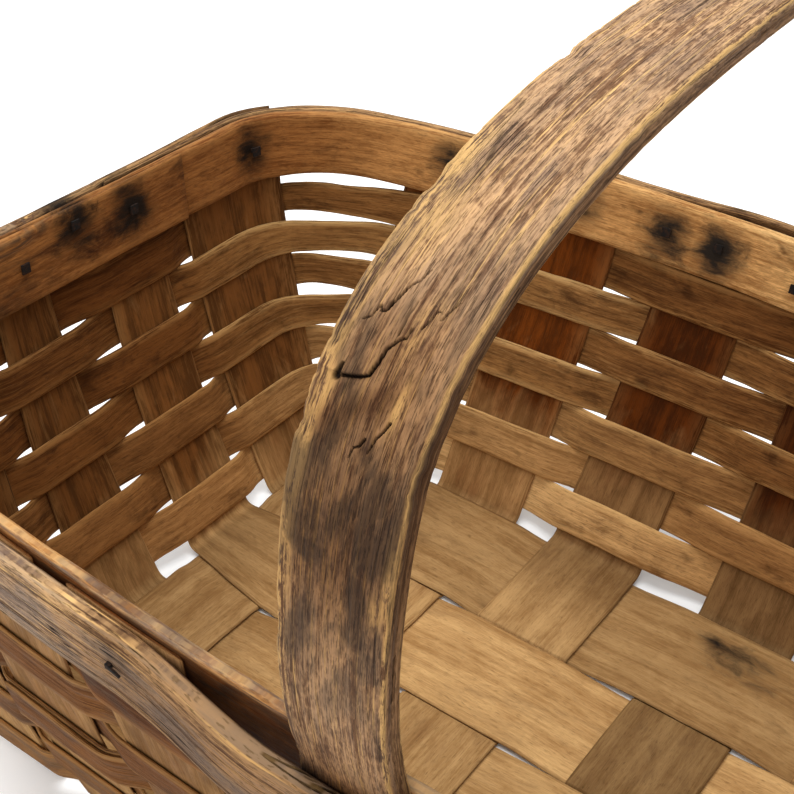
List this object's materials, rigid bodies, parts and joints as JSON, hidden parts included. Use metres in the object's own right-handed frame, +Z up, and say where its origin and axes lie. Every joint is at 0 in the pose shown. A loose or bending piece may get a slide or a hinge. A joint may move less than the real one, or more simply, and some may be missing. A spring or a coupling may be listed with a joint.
{
  "type": "gathering basket",
  "caption": "Rectangular basket woven from wide flat wood splints, with nailed double rims and a fixed bentwood handle over the middle.",
  "frame": {"origin": "on the ground under the middle of the basket", "axes": "+X along the long side, +Y towards the long side that bows more, +Z up; the handle stands across the middle, over Y"},
  "size_m": [0.4718, 0.3572, 0.307],
  "materials": {
    "splint_wood": "aged golden splint wood, worn smooth, darker near the rim",
    "weaver_wood": "aged brown splint wood with grey weathering on the outside",
    "rim_wood": "honey brown wood with dark mottling and black iron stains",
    "handle_wood": "hand-worn grey-brown hardwood with golden edges and small cracks",
    "nail_iron": "dark rusted iron"
  },
  "bodies": {
    "root": {"long_splint_1": "splint_wood", "long_splint_2": "splint_wood", "long_splint_3": "splint_wood", "long_splint_4": "splint_wood", "cross_splint_1": "splint_wood", "cross_splint_2": "splint_wood", "cross_splint_3": "splint_wood", "cross_splint_4": "splint_wood", "cross_splint_5": "splint_wood", "cross_splint_6": "splint_wood", "weaver_1": "weaver_wood", "weaver_2": "weaver_wood", "weaver_3": "weaver_wood", "weaver_4": "weaver_wood", "weaver_5": "weaver_wood", "weaver_6": "weaver_wood", "weaver_7": "weaver_wood", "inner_rim": "rim_wood", "outer_rim": "rim_wood", "handle": "handle_wood", "nail_upright_1": "nail_iron", "nail_upright_2": "nail_iron", "nail_upright_3": "nail_iron", "nail_upright_4": "nail_iron", "nail_upright_5": "nail_iron", "nail_upright_6": "nail_iron", "nail_upright_7": "nail_iron", "nail_upright_8": "nail_iron", "nail_upright_9": "nail_iron", "nail_upright_10": "nail_iron", "nail_upright_11": "nail_iron", "nail_upright_12": "nail_iron", "nail_upright_13": "nail_iron", "nail_upright_14": "nail_iron", "nail_upright_15": "nail_iron", "nail_upright_16": "nail_iron", "nail_upright_17": "nail_iron", "nail_upright_18": "nail_iron", "nail_upright_19": "nail_iron", "nail_upright_20": "nail_iron", "nail_leg_near_1": "nail_iron", "nail_leg_near_2": "nail_iron", "nail_leg_far_1": "nail_iron", "nail_leg_far_2": "nail_iron", "nail_rim_left": "nail_iron", "nail_rim_far": "nail_iron"}
  },
  "joints": []
}
